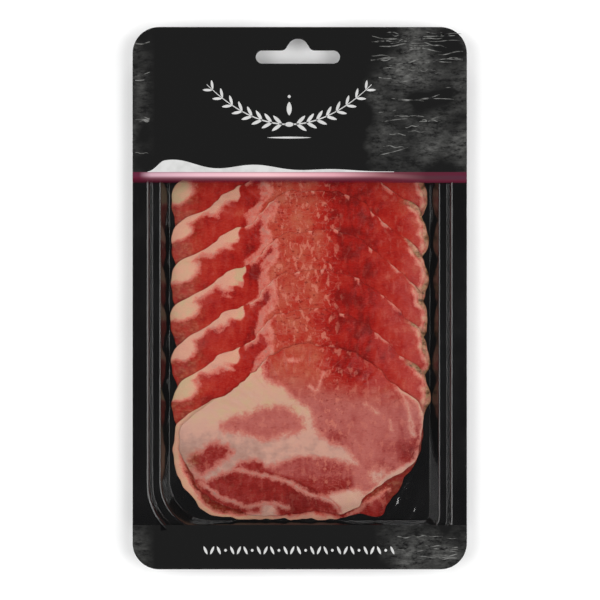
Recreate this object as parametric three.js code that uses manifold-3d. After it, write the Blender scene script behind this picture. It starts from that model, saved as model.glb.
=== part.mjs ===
// Retail pack of sliced coppa, lying on its base with the film side up.
// A shallow tray is thermoformed from black plastic sheet. Its flat rim is wide at the head, where a
// slot lets the pack hang on a hook. Its pocket has a ledge half-way down the wall, and one corner far
// rounder than the others, which leaves a free tab to peel the film from. Eight thin slices lie
// shingled in the pocket, each a step further down than the one under it, and the film is sealed over.
// The film is printed at the head and the foot, and clear between them. Each of those stretches is a
// solid of its own, and so is the tray's head panel.
// Millimetres, +Z up, +Y towards the head. The origin is on the resting surface, under the centre of
// the pack's outline.
import * as THREE from 'three';
import { mergeVertices } from 'three/addons/utils/BufferGeometryUtils.js';
import Module from 'manifold-3d';

const wasm = await Module();
wasm.setup();

// Outline of the pack and of the sheet that the tray is formed from
const PACK_WIDTH = 127;
const PACK_LENGTH = 206;
const PACK_CORNER = 10;
const SHEET = 0.5;
const RIM_TOP = 10.4;

// Pocket, at the level of the rim
const POCKET = { left: -57.5, right: 57.5, bottom: -93, top: 81 };
const POCKET_CORNERS = { topRight: 13, topLeft: 13, bottomLeft: 22, bottomRight: 9 };
const CORNER_SHRINK = 0.8; // how much of an inset comes off a corner's radius
const LEAST_CORNER = 5;
// Its wall, from the rim inwards: a short steep wall, a ledge, a long wall, the floor
const UPPER_WALL_RUN = 1.3;
const LEDGE_DROP = 3;
const LEDGE_WIDTH = 3.1;
const LOWER_WALL_RUN = 2.9;
const WALL_FILLET = 0.8;
const FLAT_BESIDE_WALL = 1.6;

// Hanging slot: a round-ended slot with a dome in the middle of its upper side
const SLOT_CENTRE = { x: -0.7, y: 91.6 };
const SLOT_WIDTH = 32;
const SLOT_HEIGHT = 5;
const DOME_RADIUS = 4.1;
const DOME_RISE = 4.5;
const DOME_FLARE = 2.4;

// Where the sheets are parted, as lines across the pack
const HEAD_PANEL = 84; // the tray's flat head begins
const HEAD_PRINT = 45.9; // the film's printed head begins
const FOOT_PRINT = -86.2; // the film's printed foot ends
const SEAM = 0.05;

// Film
const FILM = 0.2;
const SEAL_GAP = 0.05;
const FILM_SAG = 1.05;
const SAG_REACH = 16; // from the clear window's edge to where the film has sunk all the way
const FILM_INSETS = [-1, 1.5, 4.5, 8, 12, 17, 30, 46];

// Slices
const SLICES = 7; // the regular ones; one more covers the last
const SLICE = 1.1;
const SLICE_GAP = 0.2;
const LAYER = SLICE + SLICE_GAP;
const PITCH = 15.2;
const LOWEST_CENTRE = -52; // centre line of the last regular slice
const UNDER_SLICES = 0.12;
// Half outline of the fan's foot: a quartic that stays just outside the slices' lower edges
const FOOT_HALF_WIDTH = 54;
const FOOT_DEPTH = 34;
const BEND_START = 0.25; // in pitches
const BEND_BLEND = 0.5;
// A slice, seen from above and about its centre line: tapered to the left, round to the right
const SLICE_OUTLINE = [
  [-47.6, 3.5], [-35.5, 11.5], [-25, 18], [-16.5, 24], [-9, 30.5], [4, 33.5], [20, 30.5], [35, 18.5],
  [45, 8], [48.8, -4], [45.6, -12], [38, -20.5], [30.5, -28.5], [8, -33.4], [-21, -32.8], [-33.5, -29],
  [-41.6, -22], [-46.8, -14], [-48.2, -5],
];
const SIDE_DRIFT = 1.2; // the fan wanders this much to either side
// The covering slice, beside the last regular one: where it lies, how it is turned (anticlockwise,
// radians) and its size
const COVER_SHIFT = { x: 0.5, y: 2 };
const COVER_TURN = 0.07;
const COVER_SCALE = 0.98;
const COVER_NOTCH = { angle: -0.8, width: 0.22, depth: 0.1 }; // where its edge falls short
const EDGE_WAVE = 0.012; // unevenness of the edges, as a share of the radius

// How finely the shapes are faceted
const CORNER_STEPS = 8;
const SIDE_STEPS = 4;
const FILLET_STEPS = 2;
const EDGE_STEPS = 42;
const DISC_RINGS = [0.3, 0.56, 0.78, 0.92, 1];

// ---------- general shapes ----------

// A rounded rectangle at height z, anticlockwise, with the same number of points whatever its size.
function roundedRing({ left, right, bottom, top }, radii, z) {
  const corners = [
    { x: right, y: top, r: radii.topRight, sx: -1, sy: -1 },
    { x: left, y: top, r: radii.topLeft, sx: 1, sy: -1 },
    { x: left, y: bottom, r: radii.bottomLeft, sx: 1, sy: 1 },
    { x: right, y: bottom, r: radii.bottomRight, sx: -1, sy: 1 },
  ];
  const arcs = corners.map(({ x, y, r, sx, sy }, quarter) =>
    Array.from({ length: CORNER_STEPS + 1 }, (_, i) => {
      const angle = ((quarter + i / CORNER_STEPS) * Math.PI) / 2;
      return new THREE.Vector3(x + sx * r + r * Math.cos(angle), y + sy * r + r * Math.sin(angle), z);
    }),
  );
  return arcs.flatMap((arc, i) => {
    const from = arc.at(-1);
    const to = arcs[(i + 1) % arcs.length][0];
    const side = Array.from({ length: SIDE_STEPS - 1 }, (_, j) => from.clone().lerp(to, (j + 1) / SIDE_STEPS));
    return [...arc, ...side];
  });
}

// The closed surface through rings of equally many points, with a fan to the middle of its first and last.
function closedLoft(rings, firstMiddle, lastMiddle) {
  const count = rings[0].length;
  const points = [firstMiddle, ...rings.flat(), lastMiddle];
  const last = points.length - 1;
  const index = [];
  const at = (ring, i) => 1 + ring * count + (i % count);
  for (let i = 0; i < count; i++) {
    index.push(0, at(0, i), at(0, i + 1));
    for (let ring = 0; ring < rings.length - 1; ring++) {
      index.push(at(ring, i), at(ring + 1, i), at(ring + 1, i + 1));
      index.push(at(ring, i), at(ring + 1, i + 1), at(ring, i + 1));
    }
    index.push(at(rings.length - 1, i), last, at(rings.length - 1, i + 1));
  }
  const geometry = new THREE.BufferGeometry().setFromPoints(points);
  geometry.setIndex(index);
  geometry.computeVertexNormals();
  return geometry;
}

function toSolid(geometry) {
  const bare = geometry.clone();
  bare.deleteAttribute('normal');
  bare.deleteAttribute('uv');
  const merged = mergeVertices(bare);
  return new wasm.Manifold(
    new wasm.Mesh({
      numProp: 3,
      vertProperties: new Float32Array(merged.attributes.position.array),
      triVerts: new Uint32Array(merged.index.array),
    }),
  );
}

function toGeometry(solid) {
  const mesh = solid.getMesh();
  const geometry = new THREE.BufferGeometry();
  geometry.setAttribute('position', new THREE.BufferAttribute(mesh.vertProperties, 3));
  geometry.setIndex(new THREE.BufferAttribute(mesh.triVerts, 1));
  geometry.computeVertexNormals();
  return geometry;
}

// Smooth minimum of a and b. Adding the same to both adds it to the result.
function smoothMin(a, b, blend) {
  const near = Math.max(blend - Math.abs(a - b), 0) / blend;
  return Math.min(a, b) - (near * near * blend) / 4;
}

// ---------- hanging slot ----------

function slotCutter() {
  const end = SLOT_HEIGHT / 2;
  const straight = SLOT_WIDTH / 2 - end;
  const domeCentre = end + DOME_RISE - DOME_RADIUS;
  const slot = new THREE.Shape();
  slot.moveTo(-straight, -end);
  slot.lineTo(straight, -end);
  slot.absarc(straight, 0, end, -Math.PI / 2, Math.PI / 2, false);
  slot.lineTo(DOME_RADIUS + DOME_FLARE, end);
  slot.quadraticCurveTo(DOME_RADIUS + DOME_FLARE / 4, end, DOME_RADIUS, domeCentre + end / 2);
  slot.absarc(0, domeCentre, DOME_RADIUS, Math.PI / 9, Math.PI - Math.PI / 9, false);
  slot.lineTo(-DOME_RADIUS, domeCentre + end / 2);
  slot.quadraticCurveTo(-DOME_RADIUS - DOME_FLARE / 4, end, -DOME_RADIUS - DOME_FLARE, end);
  slot.lineTo(-straight, end);
  slot.absarc(-straight, 0, end, Math.PI / 2, (3 * Math.PI) / 2, false);
  const cutter = new THREE.ExtrudeGeometry(slot, { depth: 2 * RIM_TOP, bevelEnabled: false, curveSegments: 10 });
  return toSolid(cutter.translate(SLOT_CENTRE.x, SLOT_CENTRE.y, 0));
}

function cutSlot(geometry) {
  return toSolid(geometry).subtract(slotCutter());
}

// The stretch of a sheet between two lines across the pack, half a seam short of each.
function stretchOf(sheet, from, to) {
  const pastStart = sheet.trimByPlane([0, 1, 0], from + SEAM / 2);
  return toGeometry(pastStart.trimByPlane([0, -1, 0], SEAM / 2 - to));
}

// ---------- tray ----------

// Corners of the wall's section on the food side, as [inset from the pocket's edge, height].
function wallCorners() {
  const ledge = UPPER_WALL_RUN + LEDGE_WIDTH;
  const foot = ledge + LOWER_WALL_RUN;
  return [
    [-FLAT_BESIDE_WALL, RIM_TOP],
    [0, RIM_TOP],
    [UPPER_WALL_RUN, RIM_TOP - LEDGE_DROP],
    [ledge, RIM_TOP - LEDGE_DROP],
    [foot, SHEET],
    [foot + FLAT_BESIDE_WALL, SHEET],
  ].map(([inset, z]) => new THREE.Vector2(inset, z));
}

// The same section moved to the sheet's other face, each corner along its mitre.
function otherFace(corners) {
  const normals = corners.slice(1).map((corner, i) => {
    const along = corner.clone().sub(corners[i]).normalize();
    return new THREE.Vector2(along.y, -along.x);
  });
  return corners.map((corner, i) => {
    const before = normals[Math.max(i - 1, 0)];
    const after = normals[Math.min(i, normals.length - 1)];
    const mitre = before.clone().add(after).normalize();
    return corner.clone().addScaledVector(mitre, SHEET / mitre.dot(after));
  });
}

// Rounds the inner corners of a section.
function filleted(corners) {
  const path = new THREE.Path();
  path.moveTo(corners[0].x, corners[0].y);
  corners.slice(1, -1).forEach((corner, i) => {
    const towards = (other) => corner.clone().add(other.clone().sub(corner).setLength(WALL_FILLET));
    const entry = towards(corners[i]);
    const exit = towards(corners[i + 2]);
    path.lineTo(entry.x, entry.y);
    path.quadraticCurveTo(corner.x, corner.y, exit.x, exit.y);
  });
  path.lineTo(corners.at(-1).x, corners.at(-1).y);
  return path.getPoints(FILLET_STEPS);
}

// The pocket's outline drawn in by an inset, at height z. The film's window ends lower than the pocket.
function pocketRing(inset, z, top = POCKET.top) {
  const box = {
    left: POCKET.left + inset,
    right: POCKET.right - inset,
    bottom: POCKET.bottom + inset,
    top: top - inset,
  };
  const radii = {};
  for (const [corner, radius] of Object.entries(POCKET_CORNERS)) {
    radii[corner] = Math.max(radius - CORNER_SHRINK * inset, LEAST_CORNER);
  }
  return roundedRing(box, radii, z);
}

function packRing(z) {
  const box = { left: -PACK_WIDTH / 2, right: PACK_WIDTH / 2, bottom: -PACK_LENGTH / 2, top: PACK_LENGTH / 2 };
  const radii = { topRight: PACK_CORNER, topLeft: PACK_CORNER, bottomLeft: PACK_CORNER, bottomRight: PACK_CORNER };
  return roundedRing(box, radii, z);
}

function pocketMiddle(z, top = POCKET.top) {
  return new THREE.Vector3((POCKET.left + POCKET.right) / 2, (POCKET.bottom + top) / 2, z);
}

function traySheet() {
  const inside = filleted(wallCorners());
  const outside = filleted(otherFace(wallCorners()));
  const rings = [
    ...inside.map(({ x, y }) => pocketRing(x, y)).reverse(),
    packRing(RIM_TOP),
    packRing(RIM_TOP - SHEET),
    ...outside.map(({ x, y }) => pocketRing(x, y)),
  ];
  return cutSlot(closedLoft(rings, pocketMiddle(SHEET), pocketMiddle(0)));
}

// ---------- film ----------

// How far the film has sunk at an inset from the pocket's edge: an S-curve from 0 to the full sag.
function sagAt(inset) {
  const share = THREE.MathUtils.smoothstep(inset, 0, SAG_REACH);
  return FILM_SAG * share;
}

// The film sinks a little over the pocket. Under its printed head it stays level.
function filmSheet() {
  const under = RIM_TOP + SEAL_GAP;
  const face = (base) => FILM_INSETS.map((inset) => pocketRing(inset, base - sagAt(inset), HEAD_PRINT));
  const rings = [...face(under + FILM).reverse(), packRing(under + FILM), packRing(under), ...face(under)];
  const lowest = under - FILM_SAG;
  const middles = [pocketMiddle(lowest + FILM, HEAD_PRINT), pocketMiddle(lowest, HEAD_PRINT)];
  return cutSlot(closedLoft(rings, ...middles));
}

// ---------- slices ----------

const UPWARDS = new THREE.Vector3(0, 0, 1);

// Middle of a slice, seen from above: regular ones are a pitch apart, in a slightly wavy line, and the
// covering one lies almost on the last.
function sliceMiddle(k) {
  if (k === SLICES) {
    const last = sliceMiddle(SLICES - 1);
    return new THREE.Vector2(last.x + COVER_SHIFT.x, last.y + COVER_SHIFT.y);
  }
  const drift = SIDE_DRIFT * Math.sin(0.8 * k - 1.2);
  return new THREE.Vector2(drift, LOWEST_CENTRE + (SLICES - 1 - k) * PITCH);
}

// Height of a slice's underside. Each slice lies flat on those under it and bends down over the edge
// of the first one, so all of them are one bent surface, a layer apart.
function sliceHeight(k, x, y) {
  const footLine = sliceMiddle(0).y - FOOT_DEPTH * (1 - (x / FOOT_HALF_WIDTH) ** 4);
  const pitchesUp = (y - footLine) / PITCH + BEND_START;
  const bend = smoothMin(0, pitchesUp, BEND_BLEND);
  return SHEET + UNDER_SLICES + Math.max(0, LAYER * (k + bend));
}

// Points of the slice's edge. Waves that differ from slice to slice keep the copies from matching.
function sliceEdge(k) {
  const curve = new THREE.CatmullRomCurve3(
    SLICE_OUTLINE.map(([x, y]) => new THREE.Vector3(x, y, 0)), true, 'centripetal',
  );
  const isCover = k === SLICES;
  return curve.getSpacedPoints(EDGE_STEPS).slice(0, -1).map((point) => {
    const angle = Math.atan2(point.y, point.x);
    const wave = Math.sin(3 * angle + 1.7 * k) + 0.6 * Math.sin(7 * angle - 2.3 * k);
    const offNotch = (angle - COVER_NOTCH.angle) / COVER_NOTCH.width;
    const notch = isCover ? COVER_NOTCH.depth * Math.exp(-offNotch * offNotch) : 0;
    point.multiplyScalar(1 - EDGE_WAVE + EDGE_WAVE * wave * 0.6 - notch);
    return isCover ? point.multiplyScalar(COVER_SCALE).applyAxisAngle(UPWARDS, COVER_TURN) : point;
  });
}

function sliceGeometry(k) {
  const edge = sliceEdge(k).reverse();
  const middle = sliceMiddle(k);
  const place = (x, y, rise) => new THREE.Vector3(x, y, sliceHeight(k, x, y) + rise);
  const ringAt = (share, rise) =>
    edge.map(({ x, y }) => place(middle.x + share * x, middle.y + share * y, rise));
  const top = DISC_RINGS.map((share) => ringAt(share, SLICE));
  const under = DISC_RINGS.map((share) => ringAt(share, 0)).reverse();
  return closedLoft(
    [...top, ...under], place(middle.x, middle.y, SLICE), place(middle.x, middle.y, 0),
  );
}

// ---------- assembly ----------

const trayPlastic = new THREE.MeshStandardMaterial({ color: 0x1a1a1b, roughness: 0.35, metalness: 0 });
const clearFilm = new THREE.MeshStandardMaterial({
  color: 0xe8ecee, roughness: 0.08, metalness: 0, transparent: true, opacity: 0.2,
});
const printedFilm = new THREE.MeshStandardMaterial({ color: 0x222222, roughness: 0.3, metalness: 0 });

const pack = new THREE.Group();

function addPiece(name, geometry, material) {
  const mesh = new THREE.Mesh(geometry, material);
  mesh.name = name;
  pack.add(mesh);
}

const tray = traySheet();
addPiece('tray', stretchOf(tray, -PACK_LENGTH, HEAD_PANEL), trayPlastic);
addPiece('tray_head', stretchOf(tray, HEAD_PANEL, PACK_LENGTH), trayPlastic);
for (let k = 0; k <= SLICES; k++) {
  const curedMeat = new THREE.MeshStandardMaterial({ color: 0xa8453c, roughness: 0.45, metalness: 0 });
  curedMeat.color.offsetHSL(0, 0, 0.02 * Math.sin(2.1 * k));
  addPiece(`slice_${k + 1}`, sliceGeometry(k), curedMeat);
}
const film = filmSheet();
addPiece('film_head', stretchOf(film, HEAD_PRINT, PACK_LENGTH), printedFilm);
addPiece('film_window', stretchOf(film, FOOT_PRINT, HEAD_PRINT), clearFilm);
addPiece('film_foot', stretchOf(film, -PACK_LENGTH, FOOT_PRINT), printedFilm);

export default pack;
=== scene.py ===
import math
from functools import partial

import bpy
import numpy as np
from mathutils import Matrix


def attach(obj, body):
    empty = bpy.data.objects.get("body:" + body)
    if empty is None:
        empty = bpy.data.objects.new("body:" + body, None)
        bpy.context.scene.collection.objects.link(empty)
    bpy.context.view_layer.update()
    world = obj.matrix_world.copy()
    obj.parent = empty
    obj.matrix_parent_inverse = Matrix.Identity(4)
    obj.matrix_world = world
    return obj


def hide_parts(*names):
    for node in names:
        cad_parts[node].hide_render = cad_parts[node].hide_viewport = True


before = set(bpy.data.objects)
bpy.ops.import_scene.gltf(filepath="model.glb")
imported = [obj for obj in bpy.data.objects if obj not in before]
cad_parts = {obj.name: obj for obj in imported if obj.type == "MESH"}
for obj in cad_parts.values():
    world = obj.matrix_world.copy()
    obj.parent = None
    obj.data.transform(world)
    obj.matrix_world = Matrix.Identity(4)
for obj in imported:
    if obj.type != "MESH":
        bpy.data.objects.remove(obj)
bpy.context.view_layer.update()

# -------------------- tray
# One piece of black polyester sheet, heated and sucked down over a mould. The wall has a ledge
# half-way, and every bend is rounded by the sheet's own thickness. The rim is die-cut, and the
# hanging slot is punched through rim and film together.

MM = 0.001
SHEET = 0.5
RIM_TOP = 10.4
PACK = (-63.5, 63.5, -103.0, 103.0)  # left, right, bottom, top
PACK_CORNERS = (10.0, 10.0, 10.0, 10.0)  # from the top right one, anticlockwise
POCKET = (-57.5, 57.5, -93.0, 81.0)
POCKET_CORNERS = (13.0, 13.0, 22.0, 9.0)
POCKET_SHRINK = 0.8  # share of an inset by which the pocket's corners are less round
WALL = ((1.3, 3.0), (3.1, 0.0), (2.9, 6.9))  # run and drop of the short wall, the ledge, the long wall
BEND_REACHES = (0.9, 0.25, 0.6, 0.2)  # how far each bend is rounded, from the rim down
SLOT_MIDDLE = (-0.7, 91.6)
SLOT_HALF_WIDTH = 16.0
SLOT_HALF_HEIGHT = 2.5
DOME_RADIUS = 4.1
DOME_RISE = 4.5
DOME_FLARE = 2.4
PUNCH_STROKE = 4.0
CREASE = math.radians(40)  # edges bent further than this stay crisp


def add_piece(name, points, faces, material, crease=CREASE):
    """A mesh object at the origin, from points in millimetres."""
    mesh = bpy.data.meshes.new(name)
    mesh.from_pydata(np.asarray(points) * MM, [], faces)
    mesh.polygons.foreach_set("use_smooth", np.ones(len(mesh.polygons), bool))
    mesh.set_sharp_from_angle(angle=crease)
    mesh.materials.append(material)
    piece = bpy.data.objects.new(name, mesh)
    bpy.context.collection.objects.link(piece)
    return piece


def rounded_rings(insets, heights, box, corners, shrink, steps=22, straight=10):
    """Rounded rectangles one inside another, as an array (rings, points, 3).

    A ring is the box drawn in by its inset. A corner's radius is its value less shrink times the
    inset, at least 0.5 mm.
    """
    insets = np.asarray(insets, float)[:, None]
    left, right, bottom, top = box
    sides = np.array([(1, 1), (-1, 1), (-1, -1), (1, -1)])
    radius = np.maximum(np.array(corners) - shrink * insets, 0.5)
    middle = np.where(sides > 0, (right, top), (left, bottom)) - sides * (insets + radius)[..., None]
    angle = (np.arange(4)[:, None] + np.linspace(0, 1, steps + 1)) * math.pi / 2
    arcs = middle[:, :, None] + radius[..., None, None] * np.stack([np.cos(angle), np.sin(angle)], axis=2)
    share = np.linspace(0, 1, straight + 1)[1:-1, None]
    runs = arcs[:, :, -1:] + (np.roll(arcs[:, :, :1], -1, axis=1) - arcs[:, :, -1:]) * share
    rings = np.concatenate([arcs, runs], axis=2).reshape(len(insets), -1, 2)
    z = np.broadcast_to(np.asarray(heights, float)[:, None, None], (*rings.shape[:2], 1))
    return np.concatenate([rings, z], axis=2)


def closed_loft(rings, first_pole, last_pole):
    """Points and faces of the closed skin through rings, fanned to a pole at either end.

    Rings run anticlockwise seen from above, from the top face outwards and back in underneath.
    """
    count, around = rings.shape[:2]
    points = np.vstack([rings.reshape(-1, 3), first_pole, last_pole])
    ring = np.arange(count - 1)[:, None] * around
    here, following = np.arange(around), np.roll(np.arange(around), -1)
    quads = np.stack([ring + here, ring + around + here, ring + around + following, ring + following], axis=2)
    last = (count - 1) * around
    first_fan = np.stack([here, following, np.full(around, count * around)], axis=1)
    last_fan = np.stack([last + following, last + here, np.full(around, count * around + 1)], axis=1)
    return points, quads.reshape(-1, 4).tolist() + first_fan.tolist() + last_fan.tolist()


def soft_path(corners, reaches, steps=9):
    """A polyline whose inner corners are eased into curves.

    From a corner c with unit vectors a and b to its neighbours, the curve is
    c + reach (a (1-t)^2 + b t^2). A point 0.25 reach beyond each end keeps the flats flat.
    """
    corners = np.array(corners, float)
    t = np.linspace(0, 1, steps)[:, None]
    path = [corners[:1]]
    for before, corner, after, reach in zip(corners, corners[1:], corners[2:], reaches):
        a = (before - corner) / np.linalg.norm(before - corner)
        b = (after - corner) / np.linalg.norm(after - corner)
        curve = corner + reach * (a * (1 - t) ** 2 + b * t**2)
        path += [corner[None] + 1.25 * reach * a, curve, corner[None] + 1.25 * reach * b]
    return np.vstack(path + [corners[-1:]])


def other_face(corners):
    """The sheet's other face: each corner moved along its mitre, a sheet's thickness away."""
    corners = np.array(corners, float)
    along = np.diff(corners, axis=0)
    along /= np.linalg.norm(along, axis=1)[:, None]
    normal = np.stack([along[:, 1], -along[:, 0]], axis=1)
    before, after = np.vstack([normal[:1], normal]), np.vstack([normal, normal[-1:]])
    mitre = before + after
    mitre /= np.linalg.norm(mitre, axis=1)[:, None]
    return corners + mitre * (SHEET / (mitre * after).sum(axis=1))[:, None]


def wall_section(beside=1.8):
    """Section of the pocket's wall on the food side, from the rim in: (inset, height)."""
    steps = np.array([(0.0, 0.0), *WALL])
    inset, drop = np.cumsum(steps, axis=0).T
    bends = np.stack([inset, RIM_TOP - drop], axis=1)
    return np.vstack([bends[0] - (beside, 0), bends, bends[-1] + (beside, 0)])


def arc(middle, radius, start, stop, steps=16):
    """Points of a circle's arc between two angles in degrees."""
    angle = np.radians(np.linspace(start, stop, steps))
    return np.stack([middle[0] + radius * np.cos(angle), middle[1] + radius * np.sin(angle)], axis=1)


def bent(start, corner, stop, steps=8):
    """Points of the quadratic curve start (1-t)^2 + 2 corner t (1-t) + stop t^2."""
    t = np.linspace(0, 1, steps)[:, None]
    return np.array(start) * (1 - t) ** 2 + 2 * np.array(corner) * t * (1 - t) + np.array(stop) * t**2


def slot_outline():
    """The hanging slot: a round-ended slot, and a dome that flares into its upper side."""
    end = SLOT_HALF_WIDTH - SLOT_HALF_HEIGHT
    high, dome = SLOT_HALF_HEIGHT, SLOT_HALF_HEIGHT + DOME_RISE - DOME_RADIUS
    shoulder = (DOME_RADIUS, dome + high / 2)
    right = bent((DOME_RADIUS + DOME_FLARE, high), (DOME_RADIUS + DOME_FLARE / 4, high), shoulder)
    mirrored = right[::-1] * (-1, 1)
    outline = np.vstack([
        arc((end, 0), high, -90, 90), right, arc((0, dome), DOME_RADIUS, 20, 160)[1:-1], mirrored,
        arc((-end, 0), high, 90, 270),
    ])
    return outline + SLOT_MIDDLE


def punch_slot(piece):
    """Cuts the hanging slot through a piece."""
    outline = slot_outline()
    count = len(outline)
    ends = (RIM_TOP - PUNCH_STROKE, RIM_TOP + PUNCH_STROKE)
    low, high = (np.column_stack([outline, np.full(count, z)]) for z in ends)
    here = np.arange(count)
    walls = np.stack([here, np.roll(here, -1), np.roll(here, -1) + count, here + count], axis=1)
    caps = [here[::-1].tolist(), (here + count).tolist()]
    punch = add_piece("punch", np.vstack([low, high]), walls.tolist() + caps, piece.data.materials[0])
    cut = piece.modifiers.new("slot", "BOOLEAN")
    cut.operation = "DIFFERENCE"
    cut.solver = "EXACT"
    cut.object = punch
    whole, name = piece.data, piece.data.name
    piece.data = bpy.data.meshes.new_from_object(piece.evaluated_get(bpy.context.evaluated_depsgraph_get()))
    piece.modifiers.clear()
    bpy.data.objects.remove(punch)
    bpy.data.meshes.remove(whole)
    piece.data.name = name
    piece.data.set_sharp_from_angle(angle=CREASE)


def colour(hex_value):
    """A linear colour from an sRGB hex value such as 'AA3322'."""
    srgb = np.array([int(hex_value[i:i + 2], 16) for i in (0, 2, 4)]) / 255
    linear = np.where(srgb <= 0.04045, srgb / 12.92, ((srgb + 0.055) / 1.055) ** 2.4)
    return (*linear, 1.0)


def add_node(tree, kind, inputs=(), stops=(), **settings):
    """Adds a shader node and returns its outputs, of which 0 is the main one.

    `inputs` gives each input a value, or the output that feeds it. `stops` gives a ramp's hex
    colours by their positions.
    """
    made = tree.nodes.new("ShaderNode" + kind)
    for name, value in settings.items():
        setattr(made, name, value)
    for name, source in dict(inputs).items():
        if isinstance(source, bpy.types.NodeSocket):
            tree.links.new(source, made.inputs[name])
        else:
            made.inputs[name].default_value = source
    for place, (position, hex_value) in enumerate(dict(stops).items()):
        elements = made.color_ramp.elements
        stop = elements[place] if place < len(elements) else elements.new(position)
        stop.position, stop.color = position, colour(hex_value)
    return made.outputs


def new_material(surface):
    """A material named after the function that adds its surface's nodes and returns the shader."""
    material = bpy.data.materials.new(surface.__name__)
    material.use_nodes = True
    material.node_tree.nodes.clear()
    add = partial(add_node, material.node_tree)
    add("OutputMaterial", {"Surface": surface(add)})
    return material


def black_polyester_sheet(add):
    """Glossy black PET sheet. Stretching over the mould leaves it wavy, and handling scuffs it."""
    place = add("TexCoord")["Object"]
    # A flow mark every 12 mm or so, and hazy patches of 20 mm
    flow = add("TexNoise", {"Vector": place, "Scale": 80.0, "Detail": 1.0})[0]
    haze = add("TexNoise", {"Vector": place, "Scale": 50.0, "Detail": 3.0})[0]
    rough = add("MapRange", {
        "Value": haze, "From Min": 0.3, "From Max": 0.7, "To Min": 0.08, "To Max": 0.18,
    })[0]
    bump = add("Bump", {"Height": flow, "Strength": 0.2, "Distance": 0.001})[0]
    return add("BsdfPrincipled", {
        "Base Color": colour("050506"), "IOR": 1.57, "Roughness": rough, "Normal": bump,
    })[0]


def make_tray():
    """Lofts the food side outwards, the die-cut edge, and the underside back in."""
    section = wall_section()
    food_side = soft_path(section, BEND_REACHES)[::-1]
    outside = soft_path(other_face(section), BEND_REACHES)
    edge_round = 0.06
    edge_inset = [1.0, 0.3, edge_round, 0.0, 0.0, edge_round, 0.3, 1.0]
    edge_height = RIM_TOP - np.array([0, 0, 0, edge_round, SHEET - edge_round, SHEET, SHEET, SHEET])
    rings = np.vstack([
        rounded_rings(food_side[:, 0], food_side[:, 1], POCKET, POCKET_CORNERS, POCKET_SHRINK),
        rounded_rings(edge_inset, edge_height, PACK, PACK_CORNERS, 1.0),
        rounded_rings(outside[:, 0], outside[:, 1], POCKET, POCKET_CORNERS, POCKET_SHRINK),
    ])
    middle = ((POCKET[0] + POCKET[1]) / 2, (POCKET[2] + POCKET[3]) / 2)
    points, faces = closed_loft(rings, (*middle, SHEET), (*middle, 0))
    tray = add_piece("tray_sheet", points, faces, new_material(black_polyester_sheet))
    punch_slot(tray)
    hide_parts("tray", "tray_head")
    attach(tray, "root")


make_tray()

# -------------------- slices
# Cured pork neck, cut about a millimetre thin across the muscle. Each slice has a rim of cream
# fat, red lean in separate muscles, and fat seams between them. They are laid one on another
# from the head of the pack to its foot, so only the upper edge of all but the last one shows.

FIELDS = ("fat", "tone", "rosy", "marbling", "crust_and_shade")  # what a slice's mesh says of its meat
SLICES = 7  # regular ones, under the cover
SLICE = 1.1
LAYER = 1.3  # a slice and the gap under it
PITCH = 15.2
LOWEST_MIDDLE = -52.0
UNDER_SLICES = 0.12
ABOVE_TRAY = 0.04  # nowhere nearer to the tray than this
FOOT_HALF_WIDTH = 54.0
FOOT_DEPTH = 34.0
BEND_START = 0.25
BEND_BLEND = 0.5
SIDE_DRIFT = 1.2
COVER_SHIFT = (0.5, 2.0)
EDGE_THICKNESS = 0.14  # the blade and the vacuum leave the edges thinner
EDGE_TAPER = 9.0  # over this much of the slice
PRESSED = 0.15  # the film presses the edges down this much
COVER_SINKS = 0.95  # the cover's upper edge reaches past the slice below it, and sinks this much
BARE = 2.6  # a rim this far below the edge leaves the lean bare
CLUBS = (4.4, 4.2, 5.2, 7.2, 5.2, 6.6, 6.0)  # height of the fat's blunt end in each slice


def slice_middle(k):
    """Middle of slice k from above: a pitch apart in a wavy line, and the cover beside the last one."""
    last = SLICES - 1
    if k > last:
        return slice_middle(last) + COVER_SHIFT
    return np.array([SIDE_DRIFT * math.sin(0.8 * k - 1.2), LOWEST_MIDDLE + (last - k) * PITCH])


def slice_height(k, x, y):
    """Height of slice k's underside.

    With u the number of pitches up from the fan's foot line, the slice lies k layers up where u is
    positive, and comes down one layer a pitch where it is negative, with a smooth minimum between.
    A swell of 0.2 mm, the same in each layer, keeps the slices from looking like boards.
    """
    foot = slice_middle(0)[1] - FOOT_DEPTH * (1 - (x / FOOT_HALF_WIDTH) ** 4)
    u = (y - foot) / PITCH + BEND_START
    near = np.maximum(BEND_BLEND - np.abs(u), 0) / BEND_BLEND
    bend = np.minimum(0, u) - near**2 * BEND_BLEND / 4
    swell = 0.1 * (1 + np.sin(0.13 * x + 0.05 * y) * np.sin(0.11 * y - 0.06 * x))
    return SHEET + UNDER_SLICES + np.maximum(0, LAYER * (k + bend)) + swell


def edge_radius(node, middle, angle):
    """The outline of a slice's solid as a radius for each angle about its middle, in mm.

    The solid's corners give it for some 40 angles. It is read between them and smoothed by a
    Gaussian of 2 degrees, by way of its Fourier series.
    """
    corners = np.empty(3 * len(node.data.vertices), np.float32)
    node.data.vertices.foreach_get("co", corners)
    offset = corners.reshape(-1, 3)[:, :2] / MM - middle
    radius = np.hypot(offset[:, 0], offset[:, 1])
    offset, radius = offset[radius > 5], radius[radius > 5]
    known, which = np.unique(np.round(np.arctan2(offset[:, 1], offset[:, 0]), 2), return_inverse=True)
    reach = np.zeros(len(known))
    np.maximum.at(reach, which, radius)
    outline = np.interp(angle, known, reach, period=2 * math.pi)
    waves = np.fft.rfft(outline)
    waves *= np.exp(-0.5 * (np.arange(len(waves)) * math.radians(2)) ** 2)
    return np.fft.irfft(waves, len(angle))


def ease(value, low, high):
    """0 below low, 1 above high, and the cubic 3t^2 - 2t^3 between."""
    t = np.clip((value - low) / (high - low), 0, 1)
    return t * t * (3 - 2 * t)


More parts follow.
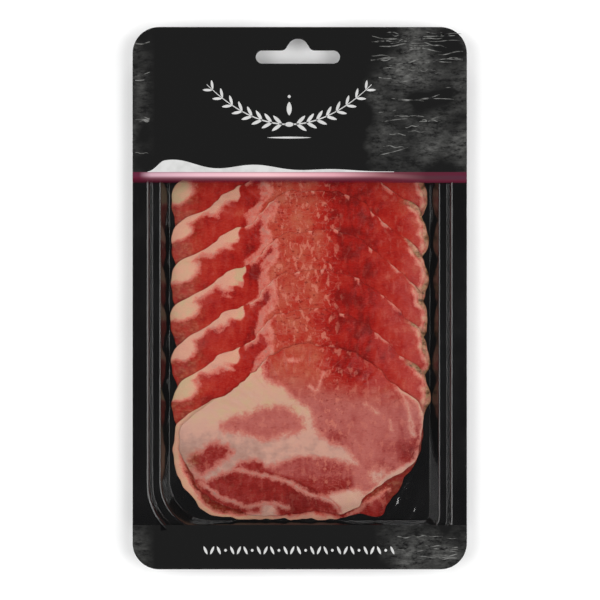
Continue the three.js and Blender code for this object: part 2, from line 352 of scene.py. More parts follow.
def hump(value, middle, half_width):
    """The bell curve exp(-((value - middle) / half_width)^2)."""
    return np.exp(-(((value - middle) / half_width) ** 2))


def rounded_line(points, closed):
    """A polyline with its corners cut twice, at a quarter and three quarters of each run."""
    line = np.array(points, float)
    for _ in range(2):
        following = np.roll(line, -1, axis=0) if closed else line[1:]
        start = line if closed else line[:-1]
        cut = np.stack([0.75 * start + 0.25 * following, 0.25 * start + 0.75 * following], axis=1)
        cut = cut.reshape(-1, 2)
        line = cut if closed else np.vstack([line[:1], cut, line[-1:]])
    return line


def distance_to(x, y, start, stop):
    """Distance from each point to the nearest of some line pieces."""
    run = stop - start
    off_x, off_y = x[..., None] - start[:, 0], y[..., None] - start[:, 1]
    along = np.clip((off_x * run[:, 0] + off_y * run[:, 1]) / (run**2).sum(axis=1), 0, 1)
    return np.hypot(off_x - along * run[:, 0], off_y - along * run[:, 1]).min(axis=-1)


def inside(x, y, outline):
    """How deep each point lies within a closed outline: its distance in mm, negative outside."""
    start = rounded_line(outline, True)
    stop = np.roll(start, -1, axis=0)
    level = (start[:, 1] > y[..., None]) != (stop[:, 1] > y[..., None])
    slope = (stop[:, 0] - start[:, 0]) / (stop[:, 1] - start[:, 1] + 1e-9)
    left = x[..., None] < start[:, 0] + slope * (y[..., None] - start[:, 1])
    odd = (level & left).sum(axis=-1) % 2
    return np.where(odd == 1, 1, -1) * distance_to(x, y, start, stop)


def beside(x, y, line, half_width):
    """The same for a band along an open line."""
    line = rounded_line(line, False)
    return half_width - distance_to(x, y, line[:-1], line[1:])


def club_end(k):
    """How far slice k's pattern sways to a side, and the x at which its band of fat ends."""
    sway = math.sin(2.1 * k + 0.6)
    return sway, -21.8 + 0.8 * sway


def strip_tone(k, x, seam_x):
    """Tone of the lean across a regular slice: red, then palest beside the seam, darkest, and red."""
    sway, end = club_end(k)
    tone = 0.3 + 0.46 * ease(x, seam_x - 0.5, seam_x + 1.2) - 0.12 * ease(x, end, end + 1.5)
    tone -= 0.52 * ease(x, 3.5 + 1.5 * sway, 14 + 1.5 * sway)
    return tone + 0.2 * ease(x, 25 - sway, 31 - sway) + 0.12 * ease(x, 36, 42)


def strip_anatomy(k, x, y, depth):
    """The FIELDS of a regular slice, k from the head, over its own millimetres.

    A band of fat lies along the upper left edge: a lobe at the tip, a neck, and a club that ends
    at a muscle. A thread of fat leads on from it to a seam, where the next muscle begins. Beyond
    the seam the rim is bare but for a few dashes, until a crust covers the right end. Fat is in mm
    of depth; tone is 0 where lean is darkest and 1 where it is palest; the others are shares.
    """
    sway, end = club_end(k)
    club = (CLUBS[k] - 3.2) * ease(x, end - 13, end - 2.5)
    band = 3.0 + club + 0.5 * np.sin(0.8 * x + 2 * k) - 1.3 * hump(x, -37 + 2 * sway, 4)
    blunt = end - 1.7 + 0.4 * np.sin(1.2 * y + 2 * k)
    band = (BARE + band) * (1 - ease(x, blunt, blunt + 1.6)) * ease(y, -5, -0.5) - BARE
    wide, tall = 5.4 + 1.0 * math.sin(4.3 * k), 3.8 + 0.9 * math.sin(2.9 * k + 1)
    lobe = 4.2 * (1 - np.hypot((x + 45.2) / wide, (y - 1.6 - 0.25 * (x + 45)) / tall))
    seam_x = -11.6 + 1.3 * np.sin(0.42 * y + 1.3 * k) - 0.010 * (30 - y) ** 2
    thread = (BARE + 0.6) * ease(x, end, end + 1.5) * ease(seam_x - x, -1.5, 0) - BARE
    foot = (BARE + 1.4) * ease(-y, 10, 20) - BARE
    dashes = np.sin(0.55 * x + 2.3 * k) + 0.6 * np.sin(1.37 * x + 1.1 * k)
    dashes = ease(dashes, 0.6, 1.15) * ease(x, -10, -6)
    dashes = (BARE + 0.5) * np.maximum(dashes, hump(x, 34 + 2 * sway, 3.5)) - BARE
    rim = np.maximum.reduce([band, thread, dashes, foot]) - depth
    seam = np.minimum(1.3 + 0.7 * np.sin(0.7 * y + 2 * k) - np.abs(x - seam_x), 0.0)
    right = ease(x, 38, 43)
    wave = 2.1 + 0.7 * np.sin(0.5 * y + 1.7 * k)
    cord = 0.5 + 0.4 * np.sin(1.3 * y + k) - np.abs(depth - wave) - 3 * (1 - right)
    crust_and_shade = right * (1 - ease(depth, wave - 1.0, wave - 0.4))
    fat = np.maximum.reduce([rim, lobe, seam, cord, 2.2 * crust_and_shade - 1.7])
    column = ease(x, seam_x, seam_x + 2) * (1 - ease(x, 10, 17))
    tone = strip_tone(k, x, seam_x) + 0.06 * np.sin(0.4 * x + 2 * k) * np.sin(0.5 * y)
    marbling = 0.1 + 0.9 * column + 0.12 * ease(x, 26, 33)
    crust_and_shade = np.maximum(crust_and_shade, 0.35 * ease(-x, 34, 44) * (1 - ease(fat, -0.6, 0.2)))
    fat_tone = 0.75 + 0.25 * right + (0.12 + 0.3 * math.exp(-((k - 3) ** 2))) * hump(x, end - 2, 4)
    fat_tone += (0.2 + 0.2 * math.sin(2.7 * k + 1)) * ease(-x, 38, 44)
    return fat, fat_lightens(fat, tone, fat_tone), 0 * x, marbling, crust_and_shade


def fat_lightens(fat, tone, fat_tone):
    """Tone with fat_tone in the fat, where it says how bright the fat is."""
    return tone + (fat_tone - tone) * ease(fat, -0.4, 0.6)


def last_anatomy(x, y, depth):
    """The last regular slice, of which the rim at the left and the foot shows, and one corner."""
    rim = 1.8 + 0.5 * np.sin(0.3 * x) - (BARE + 1.8) * ease(x, 12, 23) - depth
    rim += 1.6 * ease(-x, 39, 43)
    line = [(17, -34), (22.6, -29), (28.3, -25.2), (30.9, -24.2), (33, -22), (34.5, -21.5)]
    line = beside(x, y, line, 0.25)
    fat = np.maximum(rim, line)
    above = ease(y - 0.66 * x, -44.6, -43.4)
    tone = 0.2 + 0.12 * np.sin(0.8 * x + 0.3 * y) * np.sin(0.6 * y)
    low_left = ease(-x, 8, 20) * ease(-y, 8, 16)
    # Painted shadow with dried crust: the corner above the line and the right end lie in shade, so they are
    # darkened and browned. The lower left is darker and browner too.
    tone -= 0.6 * above * ease(x, 12, 20) + 0.5 * ease(x, 33, 36) + 0.4 * low_left
    crust_and_shade = 0.24 * np.maximum(ease(x, 18, 24) * above, ease(x, 33, 36))
    crust_and_shade = np.maximum(crust_and_shade, 0.3 * low_left * (1 - ease(fat, -0.6, 0.2)))
    fat_tone = 0.75 + 0.2 * ease(-x, 0, 20)
    return fat, fat_lightens(fat, tone, fat_tone), 0.8 * (1 - above), 0.4 - 1.6 * crust_and_shade, crust_and_shade


def cover_fat(x, y, depth):
    """The net of fat in the slice that lies on top, in mm of depth: outlines, seams and a rim."""
    lens = inside(x, y, [
        (-31, 1), (-27.3, 3.7), (-20.9, 5.1), (-16.2, 7), (-11.7, 8.3), (-7, 8.6), (-2.4, 7), (-0.1, 4.2),
        (2.2, -0.1), (-4.7, -2.3), (-9.4, -2.7), (-13, -4.5), (-17.2, -2.7), (-22.7, -1.3), (-28.2, -0.8),
    ])
    net = inside(x, y, [
        (-52, 4), (-46, 12), (-30, 21), (-13.6, 26), (-13.4, 18.2), (-6.1, 17.1), (-4.6, 14), (0.1, 10.2),
        (4.3, 8.3), (5.4, 2), (8, -3.4), (13.8, -6.2), (18, -6.9), (19.4, -9.8), (24, -14.6), (18.4, -13.4),
        (14.8, -12), (8, -11), (0.1, -10.1), (-9.4, -13.6), (-13, -14.8), (-14.2, -12.4), (-18.1, -11.5),
        (-23.6, -12.6), (-25.4, -16), (-31, -17.6), (-36, -20.4), (-40, -18), (-46, -15), (-52, -6),
    ])
    corner = inside(x, y, [
        (10, -25.7), (14.6, -24.2), (20, -23), (24, -23.4), (26, -30), (24, -40), (15.5, -38), (16.4, -33),
        (14.6, -29),
    ])
    foot = inside(x, y, [(-15, -29.6), (-11, -28.6), (-9, -30.5), (-8, -38), (-15.5, -38)])
    patch = inside(x, y, [(26.5, -16), (34, -15), (33, -18.5), (30.5, -20.5), (27.2, -22)])
    seams = [
        (0.35, [
            (-36, -19.9), (-32.4, -17), (-27, -15.4), (-23.6, -15.6), (-17.2, -17.2), (-9.8, -18.7),
            (-3.3, -20.6), (0.1, -23.2), (5.4, -25.8), (11.5, -27), (14.8, -30.4), (16, -35),
        ]),
        (0.3, [
            (-38, -20.5), (-31.9, -25.3), (-27.2, -27.6), (-23.6, -28.6), (-21.8, -30.2), (-19, -29.9),
            (-13.9, -28.9), (-9.8, -28.5), (-5, -30.5),
        ]),
        (0.4, [(35, 22), (38.7, 14), (42, 8), (41.9, -0.4), (44.1, -2.7)]),
        (0.45, [(27, -18), (33, -17.6), (38, -16.6), (42, -15.4), (45.5, -13)]),
        (0.2, [(40, 11), (42.6, 4), (43.6, -1)]),
        (0.15, [(3.7, 16.7), (6.5, 13.6), (9, 21.4)]),
        (0.35, [(25, 9.4), (27.4, 8.4), (29.6, 6)]),
        (0.15, [(34.6, 3.4), (34.9, -0.6)]),
        (0.1, [(-1, 26), (-4, 26.4)]),
    ]
    seams = [beside(x, y, line, half_width) for half_width, line in seams]
    rim = 0.5 + 0.5 * ease(-x, 10, 30) + 0.5 * ease(x, 30, 42) + 0.4 * ease(-y, 15, 25)
    rim += 1.5 * ease(x, 28, 33) * ease(-y, 12, 17)
    rim -= 1.1 * hump(y, -6, 4) * ease(x, 38, 42)
    rim -= 2.4 * ease(-x, 17, 24) * ease(-y, 9, 14)
    rim -= (BARE + 0.9) * ease(x, -11, -7) * ease(16 - x, 0, 3) * ease(-y, 22, 27)
    rim -= depth + (BARE + 0.5) * ease(y, 14, 22) * ease(x, -14, -8)
    fat = np.minimum(0.8 * net, -0.6 * lens)
    fat = np.minimum(fat, -0.7 * cover_blob(x, y))
    return np.maximum.reduce([fat, corner, foot, rim, 0.45 * patch - 0.15, *seams])


def cover_blob(x, y):
    """Depth within the small dark muscle at the left of the cover."""
    return inside(x, y, [
        (-41.6, -9.6), (-37.9, -8.7), (-34.6, -5.4), (-31.4, -5.2), (-27.3, -6.4), (-25, -9.2),
        (-28.2, -11.5), (-32.4, -14.7), (-36, -18), (-39.5, -17.5), (-43, -12.5),
    ])


def cover_anatomy(x, y, depth):
    """The slice that lies on top, whole: six muscles in a net of fat.

    Near its upper edge it is as the strip above it, so that the two run into one another.
    """
    fat = cover_fat(x, y, depth)
    pinch = hump(x, 13.8, 3.4) * hump(y, -2.8, 2.6)
    right = ease(x, 2, 8) * ease(-y, -30, 14)
    dull = 0.28 * ease(x, 28, 33) * ease(-y, 2, 7)
    dull += ease(x, 36, 39.5) * (0.1 + 0.36 * ease(y, -15, -11) * ease(-y, -4, 1))
    pale = 0.9 - 0.65 * pinch - dull
    pale += 0.16 * np.sin(0.35 * x + 0.2 * y) * np.sin(0.3 * y - 0.1 * x) * right
    band = ease(-y, 9.6, 11) * ease(22 - x, 0, 3)
    dark_in_band = ease(-y, 17.4, 20.6) * ease(x, -6, -1)
    tone = pale + band * (0.58 - 0.34 * dark_in_band - 0.3 * ease(-x, 11, 15) - pale)
    tone = tone + (0.3 - tone) * ease(cover_blob(x, y), -1.2, 0.4)
    lowest = ease(lower_muscle_line(x) - y, -0.5, 0.8)
    tone = tone + (0.16 - 0.12 * hump(x, 3, 7) - tone) * lowest
    like_strip = ease(y + 0.12 * x, 9, 25)
    tone = tone + (strip_tone(SLICES, x, -12) + 0.05 - tone) * like_strip
    # Painted shade: the fat is darker over the cover's lower half and towards its lower left.
    fat_tone = 0.95 - 0.28 * ease(-y, -6, 4) - 0.16 * ease(-x, 5, 20) * ease(-y, 0, 8)
    fat_tone += 0.16 * ease(-y, 19, 23) * ease(x, 8, 16)
    marbling = 0.4 + 0.35 * ease(x, 2, 10) * (1 - ease(x, 14, 22)) - 0.25 * lowest
    crust_and_shade = 0.5 * ease(-x, 36, 43) * ease(-y, 4, 12)
    return fat, fat_lightens(fat, tone, fat_tone), 1 - like_strip, marbling, crust_and_shade


def lower_muscle_line(x):
    """Height of the seam over the lowest muscle: two parabolas that meet at x = -22."""
    return -15.4 - np.where(x > -22, 0.0095, 0.03) * (x + 22) ** 2


def cured_pork_neck(add):
    """Salted, dried pork neck: lean that is glassy and red, fat that is waxy and cream.

    The slices' meshes carry the anatomy as attributes. Noise frays its edges, mottles the lean
    from muscle to muscle, and draws fat through it as veins and flecks. The film clings to the
    meat, so its surface mirrors less than it would in air.
    """
    grain = add("Attribute", {}, attribute_name="grain")["Vector"]
    fat, tone, rosy, marbling, crust_and_shade = (add("Attribute", {}, attribute_name=key)["Fac"] for key in FIELDS)
    # Size of the features in mm, across the pack and along it
    sizes = {
        "frayed": (2.6, 2.6), "ragged": (0.7, 0.7), "mottle": (9.0, 6.0), "streak": (2.4, 6.5),
        "fibre": (1.3, 0.6), "vein": (7.0, 5.0), "fleck": (2.2, 4.0), "speck": (2.0, 1.3),
        "cloud": (3.5, 3.0),
    }
    noise = {}
    for key, (wide, tall) in sizes.items():
        scaled = add("VectorMath", {0: grain, 1: (1 / wide, 1 / tall, 1.0)}, operation="MULTIPLY")[0]
        noise[key] = add("TexNoise", {"Vector": scaled, "Scale": 1.0, "Detail": 3.0, "Roughness": 0.58})[0]

    # Fat where the frayed depth is above 0, and a salmon fringe for a millimetre outside it
    edge = fat
    for key, strength in (("frayed", 3.4), ("ragged", 1.8)):
        edge = add("Math", {0: noise[key], 1: strength, 2: edge}, operation="MULTIPLY_ADD")[0]
    fat_share = add("MapRange", {"Value": edge, "From Min": 2.35, "From Max": 3.7})[0]
    fringe = add("MapRange", {"Value": edge, "From Min": 1.5, "From Max": 2.5, "To Max": 0.9})[0]

    # Lean: tone, mottled from muscle to muscle and streaked along the fibres
    level = tone
    for key, strength in (("mottle", 0.9), ("streak", 0.7), ("fibre", 0.22)):
        level = add("Math", {0: noise[key], 1: strength, 2: level}, operation="MULTIPLY_ADD")[0]
    level = add("MapRange", {"Value": level, "From Min": 0.91, "From Max": 1.91})[0]
    warm = {0: "760C08", 0.2: "94140D", 0.45: "A2281C", 0.7: "A84432", 1: "B05E46"}
    rose = {0: "6C120E", 0.2: "801E19", 0.45: "8C3430", 0.7: "9C4C46", 1: "A85C54"}
    warm, rose = (add("ValToRGB", {"Fac": level}, stops)[0] for stops in (warm, rose))
    flesh = add("Mix", {0: rosy, 6: warm, 7: rose}, data_type="RGBA")[2]

    # Fat drawn through the lean: veins where a slow noise crosses its middle, flecks, dark specks
    vein = add("ValToRGB", {"Fac": noise["vein"]}, {0.475: "000000", 0.5: "FFFFFF", 0.525: "000000"})[0]
    fleck = add("MapRange", {"Value": noise["fleck"], "From Min": 0.55, "From Max": 0.62})[0]
    speck = add("MapRange", {"Value": noise["speck"], "From Min": 0.41, "From Max": 0.35})[0]
    for share, strength, paint in ((vein, 0.4, "B8675A"), (fleck, 0.6, "C87865"), (speck, 0.7, "74150F")):
        share = add("Math", {0: share, 1: marbling}, operation="MULTIPLY")[0]
        share = add("Math", {0: share, 1: strength}, operation="MULTIPLY")[0]
        flesh = add("Mix", {0: share, 6: flesh, 7: colour(paint)}, data_type="RGBA")[2]
    salmon = add("Mix", {0: rosy, 6: colour("C4685A"), 7: colour("B4695D")}, data_type="RGBA")[2]
    flesh = add("Mix", {0: fringe, 6: flesh, 7: salmon}, data_type="RGBA")[2]

    # Fat: pink where it meets lean, cream and faintly yellow where it is thick
    waxy = add("Math", {0: noise["cloud"], 1: 0.8, 2: tone}, operation="MULTIPLY_ADD")[0]
    waxy = add("MapRange", {"Value": waxy, "From Min": 0.65, "From Max": 1.55})[0]
    warm = {0: "966E62", 0.3: "B07F70", 0.5: "C68D79", 0.75: "CA957C", 1: "BA9C7A"}
    rose = {0: "966E62", 0.3: "A88275", 0.5: "BD9080", 0.75: "BE9580", 1: "B89C78"}
    warm, rose = (add("ValToRGB", {"Fac": waxy}, stops)[0] for stops in (warm, rose))
    cream = add("Mix", {0: rosy, 6: warm, 7: rose}, data_type="RGBA")[2]
    flesh = add("Mix", {0: fat_share, 6: flesh, 7: cream}, data_type="RGBA")[2]

    # The neck's outer skin has dried: grey-brown and dull. The same brown also paints shade on the last
    # slice's corner and right end.
    patchy = add("MapRange", {"Value": noise["cloud"], "From Min": 0.38, "From Max": 0.6, "To Min": 0.15})[0]
    dried = add("Math", {0: crust_and_shade, 1: patchy}, operation="MULTIPLY")[0]
    skin = add("ValToRGB", {"Fac": noise["speck"]}, {0.38: "4C2C14", 0.5: "784E2E", 0.62: "9A7856"})[0]
    flesh = add("Mix", {0: dried, 6: flesh, 7: skin}, data_type="RGBA")[2]

    relief = add("Math", {0: fat_share, 1: 0.8, 2: noise["fibre"]}, operation="MULTIPLY_ADD")[0]
    bump = add("Bump", {"Strength": 0.5, "Distance": 0.00015, "Height": relief})[0]
    rough = add("MapRange", {
        "Value": noise["fibre"], "From Min": 0.3, "From Max": 0.7, "To Min": 0.22, "To Max": 0.32,
    })[0]
    return add("BsdfPrincipled", {
        "Base Color": flesh, "Roughness": rough, "Normal": bump, "IOR": 1.2, "Subsurface Weight": 0.1,
        "Subsurface Radius": (1.0, 0.35, 0.25), "Subsurface Scale": 0.0006,
    })[0]


def frill(k, angle):
    """Small unevenness of a cut edge: six sine waves whose phases differ from slice to slice."""
    waves = np.array([5, 9, 14, 23, 37, 61])[:, None]
    height = np.array([0.3, 0.3, 0.26, 0.22, 0.17, 0.1])[:, None]
    return (height * np.sin(waves * angle + waves * (1.3 * k + 0.7))).sum(axis=0)


def slice_outline(k, angle):
    """The outline of slice k as a radius for each angle about its middle.

    It is the solid's, squarer at its right end and fuller at its left tip, so that the ends stand in
    two nearly straight rows, and it waves along the band of fat at the upper left.
    """
    middle = slice_middle(k)
    radius = edge_radius(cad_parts[f"slice_{k + 1}"], middle, angle) + frill(k, angle) - 0.3
    radius += 1.9 * hump(angle, 0.22, 0.1) + 1.0 * hump(angle, 0.02, 0.18)
    if k < SLICES - 1:
        radius += (1.3 - 0.9 * middle[0]) * hump(angle, 0.08, 0.26)
        radius += (1.7 + 0.7 * middle[0]) * hump(np.mod(angle, 2 * math.pi), 3.2, 0.32)
        for at, out in ((2.92, -0.7), (2.64, 1.3), (2.3, -1.1)):
            radius += (out + 0.3 * math.sin(3 * k + 5 * at)) * hump(angle, at, 0.12)
    elif k == SLICES - 1:
        radius += 1.4 * hump(angle, -0.55, 0.12) + 3.4 * hump(angle, -0.79, 0.1)
        radius += 1.1 * hump(angle, -1.1, 0.2)
        radius += 3.6 * hump(angle, -2.42, 0.2) + 1.6 * hump(angle, -2.78, 0.14)
    else:
        radius += 2.8 * hump(angle, -0.3, 0.13)
        radius += 2.7 * hump(angle, -0.91, 0.11) + 2.4 * hump(angle, -1.1, 0.13)
        radius -= 1.5 * hump(angle, -2.78, 0.14)
    return radius


def make_slice(k, material):
    """One slice: from the middle out over the top, round the cut edge, and back in underneath.

    A ring is the outline's radius times a share, less an inset: both faces use shares, and the edge
    is a half circle of the edge's thickness.
    """
    cover = k == SLICES
    around, across = (620, 120) if cover else (460, 72)
    angle = np.linspace(-math.pi, math.pi, around, endpoint=False)
    middle, radius = slice_middle(k), slice_outline(k, angle)
    turn = np.radians(np.linspace(72, -72, 7))
    half = EDGE_THICKNESS / 2
    outward = np.linspace(0.02, 1, across) ** (1.0 if cover else 0.62)
    back = np.linspace(1, 0.05, 9)
    share = np.hstack([outward, np.ones(len(turn)), back])[:, None]
    inset = np.hstack([np.full(across, half), half * (1 - np.cos(turn)), np.full(len(back), half)])
    reach = share * (radius - inset[:, None])
    local_x, local_y = reach * np.cos(angle), reach * np.sin(angle)
    slant = np.gradient(radius, angle) / radius
    depth = (radius - reach) / np.sqrt(1 + slant**2)
    if cover:
        fields = cover_anatomy(local_x, local_y, depth)
    elif k == SLICES - 1:
        fields = last_anatomy(local_x, local_y, depth)
    else:
        fields = strip_anatomy(k, local_x, local_y, depth)
    fields = dict(zip(FIELDS, fields))
    x, y = local_x + middle[0], local_y + middle[1]
    upper = (np.arange(len(share)) < across)[:, None]
    thick = EDGE_THICKNESS + (SLICE - EDGE_THICKNESS) * ease(depth, -1, EDGE_TAPER)
    relief = 0.05 * np.clip(fields["fat"], -1, 1)
    relief += 0.03 * np.sin(1.1 * x + 0.4 * y + k) * np.sin(0.9 * y - 0.3 * x)
    round_edge = np.hstack([np.zeros(across), half + half * np.sin(turn), np.zeros(len(back))])
    rise = np.where(upper, thick + relief * ease(depth, 0, 1.5), round_edge[:, None])
    z = slice_height(k, x, y) + rise - PRESSED * (1 - ease(depth, 0, 3))
    if cover:
        z -= COVER_SINKS * (1 - ease(depth, 0, 10)) * ease(local_y, 4, 18)
    z = np.maximum(z, SHEET + ABOVE_TRAY)
    poles = [(*middle, slice_height(k, *middle) + top) for top in (SLICE, 0)]
    points, faces = closed_loft(np.stack([x, y, z], axis=2), *poles)
    piece = add_piece(f"coppa_slice_{k + 1}", points, faces, material, math.radians(180))
    for name, values in fields.items():
        store_field(piece, name, values)
    apart = 137.0 * k
    grain = np.stack([local_x + apart, local_y, 0 * local_x], axis=2).reshape(-1, 3)
    ends = np.array([[apart, 0, 0]] * 2)
    vector = piece.data.attributes.new("grain", "FLOAT_VECTOR", "POINT")
    vector.data.foreach_set("vector", np.vstack([grain, ends]).ravel().astype(np.float32))
    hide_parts(f"slice_{k + 1}")
    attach(piece, "root")


def store_field(piece, name, values):
    """Keeps a value for each point of a slice, with its two poles at the values beside them."""
    flat = np.hstack([values.ravel(), values[0, :1], values[-1, :1]]).astype(np.float32)
    piece.data.attributes.new(name, "FLOAT", "POINT").data.foreach_set("value", flat)


pork = new_material(cured_pork_neck)
for k in range(SLICES + 1):
    make_slice(k, pork)

# -------------------- film
# Lidding film of polyester and polyethylene, heat-sealed to the rim and die-cut with it. It is
# printed on the inside: opaque black at the head and the foot, with a narrow wine-red stripe
# under the head, and it is clear between them.

FILM = 0.1
FILM_TOP = 10.6
FILM_SAG = 0.8
SAG_REACH = 16.0
HEAD_EDGE = 47.9
STRIPE = 4.1
FOOT_EDGE = -86.2


def window_inset(x, y, round_off=12.0):
    """Distance inwards from the nearest side of the sunken window, rounded at its corners."""
    left, right, bottom, _ = POCKET
    side_x = np.minimum(x - left, right - x)
    side_y = np.minimum(y - bottom, HEAD_EDGE - STRIPE - y)
    away = np.hypot(np.maximum(round_off - side_x, 0), np.maximum(round_off - side_y, 0))
    corner = (side_x < round_off) & (side_y < round_off)
    return np.minimum(side_x, side_y) - np.maximum(away - round_off, 0) * corner


def film_height(x, y):
    """The film's upper face: level over the rim, lower over the pocket, with fine tension waves."""
    inward = window_inset(x, y)
    sunk = ease(inward, 0, 6)
    pulls = 0.03 * np.sin(0.9 * x + 0.35 * y) * np.sin(0.21 * y - 0.1 * x)
    corner = np.exp(-(((x - 42) / 14) ** 2) - ((y + 78) / 20) ** 2)
    pulls = pulls + 0.16 * corner * np.sin(0.75 * (x - 0.55 * y)) - 0.05
    return FILM_TOP - FILM_SAG * ease(inward, 0, SAG_REACH) + pulls * sunk


def band_rows(low, high, step):
    """Heights y and half widths of rows across the pack's outline from low to high.

    In the last stretch before an end of the pack the rows follow the corner's arc by angle.
    """
    _, right, bottom, top = PACK
    corner = PACK_CORNERS[0]
    sweep = np.radians(np.linspace(0, 90, 17))
    ends = np.hstack([bottom + corner - corner * np.sin(sweep), top - corner + corner * np.sin(sweep)])
    inner = np.linspace(low, high, max(2, round((high - low) / step) + 1))
    ends = ends[(ends >= low) & (ends <= high)]
    rows = np.unique(np.round(np.hstack([inner, ends]), 4))
    past = np.clip(np.abs(rows) - (top - corner), 0, corner)
    return rows, right - corner + np.sqrt(corner**2 - past**2)


def closed_plate(x, y, top, bottom):
    """Points and faces of a plate over a grid of x and y, with its sides closed."""
    rows, columns = x.shape
    upper, under = np.stack([x, y, top], axis=2), np.stack([x, y, bottom], axis=2)
    points = np.vstack([upper.reshape(-1, 3), under.reshape(-1, 3)])
    cell = np.arange(rows * columns).reshape(rows, columns)
    quads = np.stack([cell[:-1, :-1], cell[:-1, 1:], cell[1:, 1:], cell[1:, :-1]], axis=2).reshape(-1, 4)
    rim = np.hstack([cell[0, :-1], cell[:-1, -1], cell[-1, :0:-1], cell[:0:-1, 0]])
    after, count = np.roll(rim, -1), rows * columns
    sides = np.stack([rim, rim + count, after + count, after], axis=1)
    return points, np.vstack([quads, quads[:, ::-1] + count, sides])


def film_piece(name, node, low, high, step, material):
    """A stretch of the film from low to high along the pack, as one closed sheet."""
    rows, half_width = band_rows(low, high, step)
    across = np.linspace(-1, 1, round((PACK[1] - PACK[0]) / step) + 1)
    x, y = half_width[:, None] * across, np.repeat(rows[:, None], len(across), axis=1)
    top = film_height(x, y)
    points, faces = closed_plate(x, y, top, top - FILM)
    piece = add_piece(name, points, faces.tolist(), material)
    if high > SLOT_MIDDLE[1]:
        punch_slot(piece)
    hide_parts(node)
    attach(piece, "root")


def clear_film_laminate(add):
    """Clear PET/PE laminate: see-through, with the sharp mirror-like sheen of polyester."""
    place = add("TexCoord")["Object"]
    # Faint gauge bands of the extruded film, about 8 mm apart
    gauge = add("TexNoise", {"Vector": place, "Scale": 120.0, "Detail": 1.0})[0]
    bump = add("Bump", {"Height": gauge, "Strength": 0.06, "Distance": 0.0008})[0]
    see_through = add("BsdfTransparent")[0]
    sheen = add("BsdfGlossy", {"Color": colour("FFFFFF"), "Roughness": 0.06, "Normal": bump})[0]
    # Schlick's rule for IOR 1.5, 0.04 + 0.96 (1 - cos)^5, which is the same from inside the film
    facing = add("LayerWeight", {"Blend": 0.5, "Normal": bump})["Facing"]
    fifth = add("Math", {0: facing, 1: 5.0}, operation="POWER")[0]
    mirrored = add("Math", {0: fifth, 1: 0.96, 2: 0.04}, operation="MULTIPLY_ADD")[0]
    return add("MixShader", {0: mirrored, 1: see_through, 2: sheen})[0]


def slate_black_print(add):
    """Black ink behind glossy film, printed with dusty grey scuffs like a wiped slate."""
    place = add("TexCoord")["Object"]
    side = add("SeparateXYZ", {"Vector": place})
    # Dust gathers to the right of the middle, and in a narrow strip at the left
    edge = add("TexNoise", {"Vector": place, "Scale": 40.0, "Detail": 3.0})[0]
    edge = add("Math", {0: edge, 1: 0.06, 2: side["X"]}, operation="MULTIPLY_ADD")[0]
    right = add("MapRange", {"Value": edge, "From Min": 0.058, "From Max": 0.075})[0]
    left = add("MapRange", {"Value": side["X"], "From Min": -0.055, "From Max": -0.06, "To Max": 0.6})[0]
    where = add("Math", {0: right, 1: left}, operation="ADD")[0]
    # Patches of 20 mm, and in them dust of 3 mm smeared sideways
    patch = add("TexNoise", {"Vector": place, "Scale": 55.0, "Detail": 2.0})[0]
    patch = add("MapRange", {"Value": patch, "From Min": 0.4, "From Max": 0.65})[0]
    share = add("Math", {0: where, 1: patch}, operation="MULTIPLY")[0]
    smeared = add("Mapping", {"Vector": place, "Scale": (1.0, 2.2, 1.0)})["Vector"]
    dust = add("TexNoise", {"Vector": smeared, "Scale": 240.0, "Detail": 7.0, "Roughness": 0.75})[0]
    dust = add("MapRange", {"Value": dust, "From Min": 0.38, "From Max": 0.72})[0]
    chalk = add("Math", {0: dust, 1: share}, operation="MULTIPLY")[0]
    ink = add("Mix", {0: chalk, 6: colour("171717"), 7: colour("686866")}, data_type="RGBA")[2]
    return add("BsdfPrincipled", {"Base Color": ink, "Roughness": 0.1, "IOR": 1.5})[0]


def wine_stripe_print_and_shade(add):
    """Wine-red ink with a pale pink band that dies away at the sides, and thins out to clear below as painted
    shade on the meat.
    """
    place = add("TexCoord")["Object"]
    side = add("SeparateXYZ", {"Vector": place})
    along = add("MapRange", {"Value": side["X"], "From Min": PACK[0] * MM, "From Max": PACK[1] * MM})[0]
    pinks = {0.02: "5A2438", 0.055: "C8A1AE", 0.2: "E3B7C2", 0.4: "EDBEC4", 0.6: "D8A0AA", 0.75: "8A5A60",
             0.88: "4C2C34", 0.97: "4B2937"}
    pink = add("ValToRGB", {"Fac": along}, pinks)[0]
    # The band sags a millimetre at the right
    sag = add("MapRange", {"Value": side["X"], "From Min": 0.028, "From Max": 0.048, "To Max": 1.1 * MM})[0]
    height = add("Math", {0: side["Y"], 1: sag}, operation="ADD")[0]
    low, high = (HEAD_EDGE - STRIPE) * MM, HEAD_EDGE * MM
    up = add("MapRange", {"Value": height, "From Min": low, "From Max": high})[0]
    greys = {0.15: "000000", 0.37: "585858", 0.46: "7C7C7C", 0.56: "BCBCBC", 0.66: "F4F4F4", 0.86: "F0F0F0",
             1: "A8A8A8"}
    band = add("ValToRGB", {"Fac": up}, greys)[0]
    ink = add("Mix", {0: band, 6: colour("58172A"), 7: pink}, data_type="RGBA")[2]
    # Below the band the ink turns see-through towards clear: a wine-dark veil that paints the shade on the
    # meat under the print's edge.
    solid = add("MapRange", {"Value": up, "From Max": 0.48, "To Min": 0.1})[0]
    printed = add("BsdfPrincipled", {"Base Color": ink, "Roughness": 0.1, "IOR": 1.5})[0]
    clear = add("BsdfTransparent")[0]
    return add("MixShader", {0: solid, 1: clear, 2: printed})[0]


